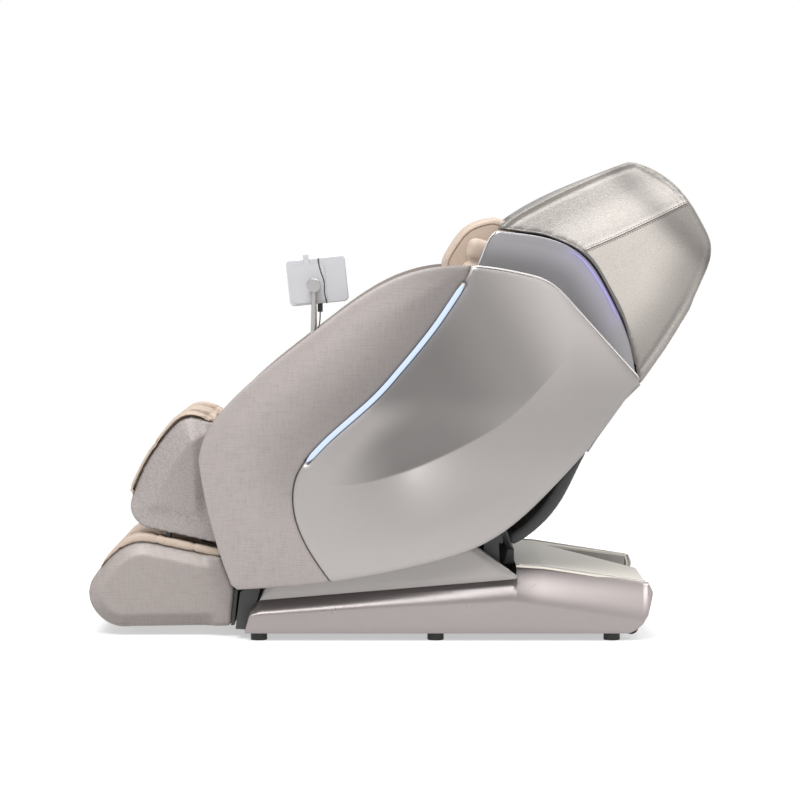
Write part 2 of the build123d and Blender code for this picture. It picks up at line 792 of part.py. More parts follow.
with BuildPart() as transport_wheel:
    with BuildSketch(side(WHEEL_Y - 10)):
        with Locations((WHEEL_X, WHEEL_Z)):
            Circle(WHEEL_RADIUS)
            Circle(5 + RUNNING_FIT, mode=Mode.SUBTRACT)
    extrude(amount=20)
    fillet(transport_wheel.edges().filter_by(GeomType.CIRCLE).sort_by(SortBy.RADIUS)[-2:], 3)
save_twins(transport_wheel, "transport_wheel")
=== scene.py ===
import json
import math

import bmesh
import bpy
import numpy as np
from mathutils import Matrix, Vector
from mathutils.bvhtree import BVHTree
from mathutils.geometry import delaunay_2d_cdt


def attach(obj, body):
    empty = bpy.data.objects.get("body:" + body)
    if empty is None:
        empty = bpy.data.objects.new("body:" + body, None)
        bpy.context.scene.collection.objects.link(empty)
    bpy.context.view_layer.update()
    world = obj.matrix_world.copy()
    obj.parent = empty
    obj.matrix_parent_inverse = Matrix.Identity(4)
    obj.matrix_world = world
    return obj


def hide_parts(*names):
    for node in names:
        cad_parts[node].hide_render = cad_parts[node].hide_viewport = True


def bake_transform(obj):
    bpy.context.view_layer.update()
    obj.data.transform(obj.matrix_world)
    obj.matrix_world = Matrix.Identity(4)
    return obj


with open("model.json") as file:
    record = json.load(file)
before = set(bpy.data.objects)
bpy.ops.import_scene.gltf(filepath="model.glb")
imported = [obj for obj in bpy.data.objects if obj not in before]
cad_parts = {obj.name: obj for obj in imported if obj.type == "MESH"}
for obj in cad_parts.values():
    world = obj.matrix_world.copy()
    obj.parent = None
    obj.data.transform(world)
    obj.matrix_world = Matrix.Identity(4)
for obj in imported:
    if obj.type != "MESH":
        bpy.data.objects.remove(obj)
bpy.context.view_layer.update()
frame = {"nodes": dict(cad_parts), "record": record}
NODES = frame["nodes"]
BODY_OF = {}
for body, names in frame["record"]["behaviour"]["bodies"].items():
    for name in names:
        BODY_OF[name] = body

# ------------------------------------------------------------------ camera

LENS, SENSOR = 112.5, 36
CAMERA_AT = (0.006, -6.64, 1.010)
LOOKS_DOWN = 3.57

camera_data = bpy.data.cameras.new("camera")
camera_data.lens = LENS
camera_data.sensor_width = SENSOR
camera = bpy.data.objects.new("camera", camera_data)
camera.location = CAMERA_AT
camera.rotation_euler = (math.radians(90 - LOOKS_DOWN), 0, 0)
bpy.context.scene.collection.objects.link(camera)
bpy.context.scene.camera = camera

# ------------------------------------------------------------------ material helpers


def material(name):
    made = bpy.data.materials.new(name)
    made.use_nodes = True
    return made, made.node_tree.nodes, made.node_tree.links, made.node_tree.nodes["Principled BSDF"]


def coords(nodes, links, scale=(1, 1, 1), rotation=(0, 0, 0)):
    place = nodes.new("ShaderNodeTexCoord")
    mapping = nodes.new("ShaderNodeMapping")
    mapping.inputs["Scale"].default_value = scale
    mapping.inputs["Rotation"].default_value = rotation
    links.new(place.outputs["Object"], mapping.inputs["Vector"])
    return mapping.outputs["Vector"]


def noise(nodes, links, vector, scale, detail=2.0, roughness=0.5):
    made = nodes.new("ShaderNodeTexNoise")
    made.inputs["Scale"].default_value = scale
    made.inputs["Detail"].default_value = detail
    made.inputs["Roughness"].default_value = roughness
    links.new(vector, made.inputs["Vector"])
    return made.outputs["Fac"]


def ramp(nodes, links, value, stops):
    made = nodes.new("ShaderNodeValToRGB")
    while len(made.color_ramp.elements) < len(stops):
        made.color_ramp.elements.new(0.5)
    for element, (at, color) in zip(made.color_ramp.elements, stops):
        element.position = at
        element.color = (*color, 1)
    links.new(value, made.inputs["Fac"])
    return made.outputs["Color"]


def bump(nodes, links, shader, height, distance, strength=1.0):
    made = nodes.new("ShaderNodeBump")
    made.inputs["Distance"].default_value = distance
    made.inputs["Strength"].default_value = strength
    links.new(height, made.inputs["Height"])
    if shader.inputs["Normal"].is_linked:
        links.new(shader.inputs["Normal"].links[0].from_socket, made.inputs["Normal"])
    links.new(made.outputs["Normal"], shader.inputs["Normal"])


def math_node(nodes, links, operation, a, b):
    made = nodes.new("ShaderNodeMath")
    made.operation = operation
    for socket, value in zip(made.inputs, (a, b)):
        if isinstance(value, (int, float)):
            socket.default_value = value
        else:
            links.new(value, socket)
    return made.outputs["Value"]


def shade(color, factor):
    return tuple(min(1.0, c * factor) for c in color)


def plain(name, color, roughness=0.5, metallic=0.0, grain=0.0, grain_scale=900.0, coat=0.0):
    """Even plastic, rubber or coat: a slow change of tone and, with a grain depth, a fine texture."""
    made, nodes, links, shader = material(name)
    shader.inputs["Roughness"].default_value = roughness
    shader.inputs["Metallic"].default_value = metallic
    shader.inputs["Coat Weight"].default_value = coat
    vector = coords(nodes, links)
    cloud = noise(nodes, links, vector, 6.0, 4.0)
    links.new(ramp(nodes, links, cloud, [(0.3, shade(color, 0.94)), (0.7, shade(color, 1.06))]),
              shader.inputs["Base Color"])
    if grain:
        bump(nodes, links, shader, noise(nodes, links, vector, grain_scale, 3.0), grain)
    return made


def add_painted_shading(nodes, links, shader, painted_glow=None):
    """Multiplies the colour by the mesh's tone attribute, which holds painted light and shade, and lets a
    second attribute light it with painted emission in the given colour.
    """
    tone = nodes.new("ShaderNodeAttribute")
    tone.attribute_name = "tone"
    mix = nodes.new("ShaderNodeVectorMath")
    mix.operation = "SCALE"
    links.new(shader.inputs["Base Color"].links[0].from_socket, mix.inputs["Vector"])
    links.new(tone.outputs["Fac"], mix.inputs["Scale"])
    links.new(mix.outputs["Vector"], shader.inputs["Base Color"])
    if painted_glow:
        light = nodes.new("ShaderNodeAttribute")
        light.attribute_name = "painted_glow"
        shader.inputs["Emission Color"].default_value = (*painted_glow, 1)
        links.new(light.outputs["Fac"], shader.inputs["Emission Strength"])


# Material whose colour carries painted light and shade from the mesh, with painted emission where a colour is
# given.
def with_painted_shading(made, painted_glow=None):
    tree = made.node_tree
    add_painted_shading(tree.nodes, tree.links, tree.nodes["Principled BSDF"], painted_glow)
    return made


# Writes a per-vertex attribute: by default the painted light and shade, under the other name the painted
# emission.
def set_painted_shading(piece, values, name="tone"):
    made = piece.data.attributes.new(name, "FLOAT", "POINT")
    made.data.foreach_set("value", np.asarray(values, np.float32))


def satin_silver(name, color, roughness=0.34, metallic=0.85):
    """Champagne paint: fine flake in the colour, a very faint orange peel, a satin coat."""
    made, nodes, links, shader = material(name)
    shader.inputs["Metallic"].default_value = metallic
    shader.inputs["Coat Weight"].default_value = 0.25
    shader.inputs["Coat Roughness"].default_value = 0.28
    vector = coords(nodes, links)
    flake = noise(nodes, links, vector, 2600.0, 1.0)
    links.new(ramp(nodes, links, flake, [(0.35, shade(color, 0.93)), (0.65, shade(color, 1.06))]),
              shader.inputs["Base Color"])
    worn = noise(nodes, links, vector, 9.0, 5.0)
    made_rough = nodes.new("ShaderNodeMapRange")
    made_rough.inputs["To Min"].default_value = roughness - 0.03
    made_rough.inputs["To Max"].default_value = roughness + 0.04
    links.new(worn, made_rough.inputs["Value"])
    links.new(made_rough.outputs["Result"], shader.inputs["Roughness"])
    bump(nodes, links, shader, noise(nodes, links, vector, 1800.0, 1.0), 0.00004)
    return made


def woven(name, color, pitch=0.0042, metallic=0.35, roughness=0.5):
    """Linen look: uneven threads that cross, each set a stretched noise, with a faint regular grid below."""
    made, nodes, links, shader = material(name)
    shader.inputs["Metallic"].default_value = metallic
    shader.inputs["Roughness"].default_value = roughness
    threads = []
    for stretch in ((1.3 / pitch, 40, 30), (30, 40, 1.3 / pitch)):
        threads.append(noise(nodes, links, coords(nodes, links, scale=stretch), 1.0, 2.0, 0.7))
    for turn in (0.0, math.pi / 2):
        wave = nodes.new("ShaderNodeTexWave")
        wave.wave_type = "BANDS"
        wave.bands_direction = "X"
        wave.inputs["Scale"].default_value = 0.314 / pitch
        wave.inputs["Distortion"].default_value = 3.0
        wave.inputs["Detail"].default_value = 2.0
        wave.inputs["Detail Scale"].default_value = 0.6
        links.new(coords(nodes, links, rotation=(0, turn, 0)), wave.inputs["Vector"])
        threads.append(math_node(nodes, links, "MULTIPLY", wave.outputs["Fac"], 0.28))
    pair = math_node(nodes, links, "ADD", threads[0], threads[1])
    grid = math_node(nodes, links, "ADD", threads[2], threads[3])
    height = math_node(nodes, links, "ADD", pair, grid)
    level = math_node(nodes, links, "MULTIPLY", height, 0.6)
    stops = [(0.50, shade(color, 0.84)), (0.78, shade(color, 1.12))]
    links.new(ramp(nodes, links, level, stops), shader.inputs["Base Color"])
    bump(nodes, links, shader, height, 0.0004, 0.6)
    return made


def leather(name, color, roughness=0.5, metallic=0.0, pebble=700.0, depth=0.00025, contrast=0.06):
    """Small pebble grain with fine speckles and a slow change of tone."""
    made, nodes, links, shader = material(name)
    shader.inputs["Metallic"].default_value = metallic
    shader.inputs["Roughness"].default_value = roughness
    vector = coords(nodes, links)
    cells = nodes.new("ShaderNodeTexVoronoi")
    cells.feature = "DISTANCE_TO_EDGE"
    cells.inputs["Scale"].default_value = pebble
    links.new(vector, cells.inputs["Vector"])
    grain = noise(nodes, links, vector, pebble * 0.75, 2.0, 0.6)
    height = math_node(nodes, links, "ADD", cells.outputs["Distance"], grain)
    slow = math_node(nodes, links, "MULTIPLY", noise(nodes, links, vector, 5.0, 3.0), 0.25)
    speckle = math_node(nodes, links, "ADD", slow, grain)
    stops = [(0.42, shade(color, 1 - contrast)), (0.84, shade(color, 1 + contrast))]
    links.new(ramp(nodes, links, speckle, stops), shader.inputs["Base Color"])
    bump(nodes, links, shader, height, depth, 0.8)
    return made


def brushed(name, color, roughness=0.28):
    """Metal with fine lines along its length."""
    made, nodes, links, shader = material(name)
    shader.inputs["Metallic"].default_value = 1.0
    shader.inputs["Roughness"].default_value = roughness
    shader.inputs["Anisotropic"].default_value = 0.5
    vector = coords(nodes, links, scale=(3000, 3000, 80))
    lines = noise(nodes, links, vector, 1.0, 2.0)
    links.new(ramp(nodes, links, lines, [(0.3, shade(color, 0.85)), (0.7, shade(color, 1.1))]),
              shader.inputs["Base Color"])
    bump(nodes, links, shader, lines, 0.00003)
    return made


def glowing(name, color, strength, base=(0.8, 0.85, 0.9)):
    made, nodes, links, shader = material(name)
    shader.inputs["Base Color"].default_value = (*base, 1)
    shader.inputs["Roughness"].default_value = 0.4
    shader.inputs["Emission Color"].default_value = (*color, 1)
    shader.inputs["Emission Strength"].default_value = strength
    return made


CHAMPAGNE = (0.300, 0.280, 0.270)
LINEN = (0.272, 0.243, 0.232)
# Colours of the painted light that the light strips throw on the panels beside them.
WHITE_PAINTED_GLOW = (0.70, 0.80, 1.0)
VIOLET_PAINTED_GLOW = (0.42, 0.36, 1.0)
M = {
    "silver": satin_silver("silver", CHAMPAGNE, 0.36, 0.30),
    "shoulder": satin_silver("silver_base", (0.37, 0.34, 0.33), 0.30, 0.45),
    # The deck's colour is set well above the other silvers: partly the deck's own lighter finish, partly
    # painted light that makes up for the shade it gets.
    "deck": satin_silver("silver_deck", (0.66, 0.62, 0.55), 0.45, 0.1),
    # Light bead material for thin edge trims: its light colour is a painted highlight along those edges.
    "edge": satin_silver("painted_highlight_edge", (0.66, 0.64, 0.62), 0.22, 0.6),
    "woven": woven("woven", LINEN, metallic=0.15),
    "grain": leather("grain_silver", (0.285, 0.265, 0.242), 0.40, 0.30, 900.0, 0.0003, 0.10),
    "grain_calf": leather("grain_calf", (0.315, 0.282, 0.272), 0.44, 0.15, 850.0, 0.0003, 0.10),
    "tan": leather("tan_leather", (0.42, 0.335, 0.270), 0.48, 0.0, 620.0, 0.0003),
    "accent": satin_silver("accent", (0.26, 0.25, 0.285), 0.24, 0.45),
    "dark_fabric": woven("dark_fabric", (0.055, 0.058, 0.056), 0.0018, 0.0, 0.75),
    "dark": plain("dark_plastic", (0.035, 0.037, 0.035), 0.45, 0, 0.0002),
    "pocket": plain("pocket_plastic", (0.34, 0.32, 0.30), 0.45, 0, 0.0002),
    "rubber": plain("black_rubber", (0.018, 0.018, 0.018), 0.62, 0, 0.0003, 500.0),
    "frame": plain("black_powder_coat", (0.03, 0.03, 0.033), 0.42, 0.0, 0.0002, 700.0),
    "alu": brushed("brushed_aluminium", (0.50, 0.49, 0.485)),
    "steel": brushed("ground_steel", (0.45, 0.45, 0.46), 0.22),
    "nylon": plain("ivory_nylon", (0.72, 0.68, 0.60), 0.38),
    "tablet": satin_silver("tablet_silver", (0.465, 0.462, 0.478), 0.32, 0.35),
    "glass": plain("black_glass", (0.008, 0.008, 0.01), 0.06, 0.0, 0, coat=1.0),
    "cable": plain("cable_black", (0.015, 0.015, 0.015), 0.5, 0, 0.0001),
    "thread": plain("thread", (0.12, 0.10, 0.09), 0.7),
    "thread_tan": plain("thread_tan", (0.30, 0.215, 0.165), 0.7),
    "piping": satin_silver("piping", (0.16, 0.15, 0.14), 0.35, 0.3),
    # Copies of surface materials whose colour is scaled by painted light and shade from the mesh; the rear
    # panel and accent panel copies also carry painted emission from their light strips.
    "silver_painted_shading": with_painted_shading(satin_silver("silver_panel", CHAMPAGNE, 0.36, 0.30), WHITE_PAINTED_GLOW),
    "shoulder_painted_shading": with_painted_shading(satin_silver("silver_skirt", (0.290, 0.258, 0.252), 0.28, 0.40)),
    "grain_painted_shading": with_painted_shading(leather("grain_hood", (0.238, 0.220, 0.203), 0.38, 0.30, 420.0, 0.0004, 0.15)),
    "calf_painted_shading": with_painted_shading(leather("grain_leg", (0.268, 0.240, 0.230), 0.44, 0.15, 330.0, 0.0004, 0.20)),
    "woven_painted_shading": with_painted_shading(woven("woven_side", LINEN, metallic=0.15)),
    "foot_painted_shading": with_painted_shading(woven("woven_leg", (0.250, 0.222, 0.208), 0.0048, 0.15)),
    "accent_painted_shading": with_painted_shading(satin_silver("accent_panel", (0.27, 0.262, 0.27), 0.24, 0.40), VIOLET_PAINTED_GLOW),
    "led": glowing("led_blue", (0.62, 0.75, 1.0), 0.72, (0.16, 0.18, 0.20)),
    "violet": glowing("led_violet", (0.50, 0.44, 1.0), 0.62, (0.1, 0.1, 0.14)),
}

LOOKS = {
    "frame": "base_pan wheel_forks carriage_sides carriage_crossbars seat_side_plates seat_pan"
             " back_frame massage_carriage massage_arm_left massage_arm_right foot_rods",
    "deck": "base_rear_deck",
    "pocket": "inlet_tray",
    "dark": "power_inlet base_front_cover control_box air_pump power_rocker foot_rear_cover",
    "rubber": "rubber_feet transport_wheel_left transport_wheel_right",
    "steel": "slide_rails calf_hinge_shaft back_track_rails",
    "tan": "arm_trim_left arm_trim_right seat_cushion back_cushion head_pillow shoulder_pads calf_pad"
           " foot_pad",
    "alu": "tablet_socket tablet_post tablet_knob",
    "tablet": "tablet_holder tablet_body",
    "glass": "tablet_screen",
    "cable": "tablet_plug tablet_cable",
    "silver": "rear_cover wing_cover_left wing_cover_right side_panel_rear_left side_panel_rear_right",
    "dark_fabric": "lower_back_cover",
    "nylon": "massage_rollers_left massage_rollers_right",
    "shoulder": "base_side_cover_left base_side_cover_right",
    "led": "led_strips",
    "violet": "accent_lights",
    "woven": "side_panel_front_left side_panel_front_right foot_shell",
    "grain": "hood_shell",
    "accent": "accent_panel_left accent_panel_right",
    "grain_calf": "calf_shell",
}
for look, names in LOOKS.items():
    for name in names.split():
        node = NODES[name]
        node.data.materials.clear()
        node.data.materials.append(M[look])

# ------------------------------------------------------------------ geometry helpers


def node_mesh(name):
    """Vertices (merged) and faces of a CAD node, as arrays in metres."""
    mesh = NODES[name].data
    raw = np.empty(len(mesh.vertices) * 3)
    mesh.vertices.foreach_get("co", raw)
    raw = raw.reshape(-1, 3)
    keys, index = {}, np.empty(len(raw), int)
    for i, key in enumerate(map(tuple, np.round(raw, 6))):
        index[i] = keys.setdefault(key, len(keys))
    verts = np.array(list(keys.keys()))
    faces = [tuple(dict.fromkeys(int(index[v]) for v in face.vertices)) for face in mesh.polygons]
    return verts, [face for face in faces if len(face) >= 3]


def outline_at(name, y):
    """The (x, z) outline of the flat face of a CAD node that lies at this y."""
    verts, faces = node_mesh(name)
    flat = np.abs(verts[:, 1] - y) < 1e-4
    count = {}
    for face in faces:
        if all(flat[v] for v in face):
            for a, b in zip(face, face[1:] + face[:1]):
                key = (min(a, b), max(a, b))
                count[key] = count.get(key, 0) + 1
    nxt = {}
    for (a, b), n in count.items():
        if n == 1:
            nxt.setdefault(a, []).append(b)
            nxt.setdefault(b, []).append(a)
    loops, used = [], set()
    for start in nxt:
        if start in used:
            continue
        loop, here, before = [], start, None
        while here is not None and here not in used:
            used.add(here)
            loop.append(here)
            step = [v for v in nxt[here] if v != before and v not in used]
            before, here = here, step[0] if step else None
        loops.append(loop)
    loop = max(loops, key=len)
    points = verts[loop][:, [0, 2]]
    area = np.sum(points[:, 0] * np.roll(points[:, 1], -1) - np.roll(points[:, 0], -1) * points[:, 1])
    return points if area > 0 else points[::-1]


def resample(points, step):
    """A closed outline with its points at most a step apart."""
    points = np.asarray(points, float)
    out = []
    for a, b in zip(points, np.roll(points, -1, axis=0)):
        n = max(1, int(math.ceil(np.linalg.norm(b - a) / step)))
        out.extend(a + (b - a) * k / n for k in range(n))
    return np.array(out)


def smooth_curve(points, step):
    """Catmull-Rom curve through the points."""
    p = np.asarray(points, float)
    p = np.vstack([2 * p[0] - p[1], p, 2 * p[-1] - p[-2]])
    out = []
    for i in range(1, len(p) - 2):
        a, b, c, d = p[i - 1], p[i], p[i + 1], p[i + 2]
        n = max(2, int(np.linalg.norm(c - b) / step))
        for k in range(n):
            t = k / n
            out.append(0.5 * (2 * b + (c - a) * t + (2 * a - 5 * b + 4 * c - d) * t * t
                              + (3 * b - a - 3 * c + d) * t ** 3))
    out.append(p[-2])
    return np.array(out)


def distance_to(points, line, closed=False):
    """Distance, signed side and run along the line, for many 2-D points."""
    line = np.asarray(line, float)
    a = line if closed else line[:-1]
    b = np.roll(line, -1, axis=0) if closed else line[1:]
    run = np.concatenate([[0], np.cumsum(np.linalg.norm(b - a, axis=1))])
    best = np.full(len(points), 1e9)
    side = np.zeros(len(points))
    along = np.zeros(len(points))
    for i, (p, q) in enumerate(zip(a, b)):
        d = q - p
        length = np.dot(d, d)
        if length < 1e-14:
            continue
        t = np.clip(((points - p) @ d) / length, 0, 1)
        gap = points - (p + t[:, None] * d)
        r = np.linalg.norm(gap, axis=1)
        closer = r < best
        best[closer] = r[closer]
        cross = d[0] * gap[:, 1] - d[1] * gap[:, 0]
        side[closer] = np.sign(cross[closer])
        along[closer] = run[i] + t[closer] * math.sqrt(length)
    return best, side, along / run[-1]


def inside(points, loop):
    x, z = points[:, 0], points[:, 1]
    out = np.zeros(len(points), bool)
    for (x0, z0), (x1, z1) in zip(loop, np.roll(loop, -1, axis=0)):
        crosses = (z0 > z) != (z1 > z)
        with np.errstate(divide="ignore", invalid="ignore"):
            at = (x1 - x0) * (z - z0) / (z1 - z0) + x0
        out ^= crosses & (x < at)
    return out


def smoothstep(t):
    t = np.clip(t, 0, 1)
    return t * t * (3 - 2 * t)


def make_object(name, verts, faces, mat, body):
    mesh = bpy.data.meshes.new(name)
    mesh.from_pydata([tuple(v) for v in verts], [], faces)
    mesh.validate()
    mesh.update()
    mesh.shade_smooth()
    mesh.materials.append(mat)
    made = bpy.data.objects.new(name, mesh)
    bpy.context.scene.collection.objects.link(made)
    if body:
        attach(made, body)
    return made


def hump(value, centre, width):
    """Bell curve of height 1."""
    return np.exp(-(((value - centre) / width) ** 2))


def nearness(points, at, reach):
    """How near each point is to a place: 1 there, falling away over the reach."""
    return np.exp(-(((points - np.array(at)) ** 2).sum(axis=1)) / reach ** 2)[:, None]


def evened(loop, share):
    """One smoothing step of a closed outline, by its own share at each point."""
    return loop + share * (0.25 * np.roll(loop, 1, axis=0) + 0.25 * np.roll(loop, -1, axis=0) - 0.5 * loop)


PANEL_STEP = 0.008
RIM_RINGS = (0.0006, 0.0015, 0.003, 0.005, 0.008)
CORNER_PASSES = 60


def relief_panel(name, node, inner_y, relief, mat, lines=(), soften=()):
    """A panel on a CAD node's outline: a fine face, a rim and a back.

    The face's depth follows relief(points, distance from the edge).
    """
    step, rings = PANEL_STEP, RIM_RINGS
    sign = -1 if inner_y < 0 else 1
    loop = resample(outline_at(node, inner_y), step)
    for at, reach in soften:
        near = nearness(loop, at, reach)
        for _ in range(CORNER_PASSES):
            loop = evened(loop, near)
    clouds = [loop]
    tangent = np.roll(loop, -1, axis=0) - np.roll(loop, 1, axis=0)
    normal = np.stack([-tangent[:, 1], tangent[:, 0]], axis=1)
    normal /= np.linalg.norm(normal, axis=1)[:, None] + 1e-12
    for gap in rings:
        ring = loop + normal * gap
        d, _, _ = distance_to(ring, loop, True)
        clouds.append(ring[inside(ring, loop) & (d > gap * 0.93)])
    for line in lines:
        d, _, _ = distance_to(line, loop, True)
        clouds.append(line[inside(line, loop) & (d > rings[-1])])
    low, high = loop.min(axis=0), loop.max(axis=0)
    gx, gz = np.meshgrid(np.arange(low[0], high[0], step), np.arange(low[1], high[1], step))
    grid = np.stack([gx.ravel(), gz.ravel()], axis=1)
    grid[:, 0] += np.where((np.round((grid[:, 1] - low[1]) / step).astype(int) % 2) == 1, step / 2, 0)
    grid = grid[inside(grid, loop)]
    d, _, _ = distance_to(grid, loop, True)
    grid = grid[d > rings[-1] + step * 0.45]
    for line in lines:
        d, _, _ = distance_to(grid, line)
        grid = grid[d > step * 0.4]
    clouds.append(grid)
    points = np.vstack(clouds)
    n = len(loop)
    edges = [(i, (i + 1) % n) for i in range(n)]
    flat, _, faces, _, _, _ = delaunay_2d_cdt([Vector(p) for p in points], edges, [], 1, 1e-7)
    flat = np.array([(v.x, v.y) for v in flat])
    d, _, _ = distance_to(flat, loop, True)
    depth = relief(flat, d)
    verts = np.stack([flat[:, 0], sign * depth, flat[:, 1]], axis=1)
    faces = [tuple(face) for face in faces]
    if sign > 0:
        faces = [face[::-1] for face in faces]
    # rim and back
    border = [int(np.argmin(np.sum((flat - p) ** 2, axis=1))) for p in loop]
    back = np.stack([loop[:, 0], np.full(n, inner_y), loop[:, 1]], axis=1)
    start = len(verts)
    verts = np.vstack([verts, back])
    for i in range(n):
        j = (i + 1) % n
        quad = (border[i], start + i, start + j, border[j])
        if border[i] != border[j]:
            faces.append(quad if sign < 0 else quad[::-1])
    verts = np.vstack([verts, back])
    closing = tuple(range(start + n, start + 2 * n))
    faces.append(closing[::-1] if sign < 0 else closing)
    return make_object(name, verts, faces, mat, BODY_OF[node])


def rounded_edge(d, radius):
    """How far a rounded rim falls back at distance d from the edge."""
    t = np.clip(d / radius, 0, 1)
    return radius * (1 - np.sqrt(np.clip(1 - (1 - t) ** 2, 0, 1)))


def remeshed(name, node, voxel, passes, mat, solid=None):
    """Copy of a CAD node, or of another solid, with its edges rounded by an even mesh and smoothing."""
    verts, faces = solid or node_mesh(node)
    made = make_object(name, verts, faces, mat, None)
    mod = made.modifiers.new("even", "REMESH")
    mod.mode = "VOXEL"
    mod.voxel_size = voxel
    soft = made.modifiers.new("soft", "SMOOTH")
    soft.factor = 0.5
    soft.iterations = passes
    depsgraph = bpy.context.evaluated_depsgraph_get()
    mesh = bpy.data.meshes.new_from_object(made.evaluated_get(depsgraph))
    made.modifiers.clear()
    old = made.data
    made.data = mesh
    bpy.data.meshes.remove(old)
    mesh.shade_smooth()
    mesh.materials.clear()
    mesh.materials.append(mat)
    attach(made, BODY_OF[node])
    return made


def get_co(mesh):
    raw = np.empty(len(mesh.vertices) * 3)
    mesh.vertices.foreach_get("co", raw)
    return raw.reshape(-1, 3)


def set_co(mesh, co):
    mesh.vertices.foreach_set("co", co.ravel())
    mesh.update()


def vertex_normals(mesh):
    raw = np.empty(len(mesh.vertices) * 3)
    mesh.vertices.foreach_get("normal", raw)
    return raw.reshape(-1, 3)


def mm(*points):
    return np.array(points, float) / 1000


def stand_for(piece, node):
    """The piece is shown in place of this CAD node."""
    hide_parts(node)
    return piece


def tree_of(piece):
    """Ray tree of a mesh piece."""
    mesh = piece.data
    co = get_co(mesh)
    return BVHTree.FromPolygons([tuple(v) for v in co], [tuple(f.vertices) for f in mesh.polygons])


def on_side(tree, line, sign, lift=0.0):
    """3-D points where a line in (x, z) meets the outermost side surface."""
    out = []
    for x, z in line:
        hit, _, _, _ = tree.ray_cast(Vector((x, sign * 0.6, z)), Vector((0, -sign, 0)))
        if hit is not None:
            out.append((x, hit.y + sign * lift, z))
    return np.array(out)


def square_to(t):
    """Two unit directions square to a unit direction."""
    a = np.cross(t, (0.0, 1.0, 0.0))
    if np.linalg.norm(a) < 0.05:
        a = np.cross(t, (1.0, 0.0, 0.0))
    a /= np.linalg.norm(a)
    return a, np.cross(t, a)


def at_side(line, y):
    """A line in (x, z) as 3-D points at this y."""
    return np.stack([line[:, 0], np.full(len(line), y), line[:, 1]], axis=1)


def bead(name, points, radii, mat, body, flatten=1.0, sides=12):
    """Bead whose radius varies along it and that can be flattened in y."""
    p = np.asarray(points, float)
    radii = np.broadcast_to(radii, (len(p),))
    tangents = np.gradient(p, axis=0)
    tangents /= np.linalg.norm(tangents, axis=1)[:, None] + 1e-12
    verts, faces = [], []
    for here, t, r in zip(p, tangents, radii):
        a, b = square_to(t)
        for k in range(sides):
            angle = 2 * math.pi * k / sides
            verts.append(here + r * (math.cos(angle) * a + math.sin(angle) * b * flatten))
    count = len(p)
    for i in range(count - 1):
        for k in range(sides):
            j = (k + 1) % sides
            faces.append((i * sides + k, i * sides + j, (i + 1) * sides + j, (i + 1) * sides + k))
    faces.append(tuple(range(sides))[::-1])
    faces.append(tuple((count - 1) * sides + k for k in range(sides)))
    made = make_object(name, np.array(verts), faces, mat, body)
    fix_normals(made)
    return made


def fix_normals(piece):
    """Turns every face of a closed piece outward."""
    shape = bmesh.new()
    shape.from_mesh(piece.data)
    bmesh.ops.recalc_face_normals(shape, faces=shape.faces)
    if shape.calc_volume(signed=True) < 0:
        bmesh.ops.reverse_faces(shape, faces=shape.faces)
    shape.to_mesh(piece.data)
    shape.free()


def ends_tapered(n, radius, share=0.06):
    """Radii of a bead of n points that narrows over this share of its length at each end."""
    t = np.linspace(0, 1, n)
    return radius * np.sqrt(np.clip(np.minimum(t, 1 - t) / share, 0.02, 1))


def stitches(name, points, mat, body, pitch=0.007, length=0.0046, radius=0.0009):
    """A row of thread stitches along 3-D points, as one piece."""
    p = np.asarray(points, float)
    run = np.concatenate([[0], np.cumsum(np.linalg.norm(np.diff(p, axis=0), axis=1))])
    verts, faces = [], []
    sides = 6
    for start in np.arange(pitch / 2, run[-1] - length, pitch):
        a, b = (np.array([np.interp(s, run, p[:, k]) for k in range(3)]) for s in (start, start + length))
        t = (b - a) / np.linalg.norm(b - a)
        u, v = square_to(t)
        first = len(verts)
        for share, r in ((0.0, 0.35), (0.2, 1.0), (0.8, 1.0), (1.0, 0.35)):
            for k in range(sides):
                angle = 2 * math.pi * k / sides
                verts.append(a + (b - a) * share + radius * r * (math.cos(angle) * u + math.sin(angle) * v))
        for ring in range(3):
            for k in range(sides):
                j = (k + 1) % sides
                low = first + ring * sides
                faces.append((low + k, low + j, low + sides + j, low + sides + k))
        faces.append(tuple(first + k for k in range(sides)))
        faces.append(tuple(first + 3 * sides + k for k in range(sides)))
    made = make_object(name, np.array(verts), faces, mat, body)
    fix_normals(made)
    return made


SIDES = (("left", -1), ("right", 1))
PANEL_OUT, PANEL_BACK = 0.386, 0.331
WING_OUT, WING_BACK = 0.328, 0.300
ACCENT_OUT, ACCENT_BACK = 0.283, 0.263
CORNER, CORNER_REACH = (0.386, 0.919), 0.06
BEVEL_Y, LED_Y, VIOLET_Y, LIP_Y = 0.3775, 0.3785, 0.2822, 0.2795

# ------------------------------------------------------------------ side panels and their light strips

LED = smooth_curve(mm((167, 912), (91, 800), (6, 695), (-62, 620), (-170, 524), (-230, 462)), 0.006)
CREASE = smooth_curve(mm((-256, 418), (-190, 407), (-116, 405), (-44, 417), (65, 453), (190, 513), (282, 573),
                         (358, 649), (418, 720)), 0.006)


def offset_line(line, gap):
    """The line moved sideways, to its left where the gap is positive."""
    tangent = np.gradient(line, axis=0)
    tangent /= np.linalg.norm(tangent, axis=1)[:, None]
    return line + np.stack([-tangent[:, 1], tangent[:, 0]], axis=1) * gap


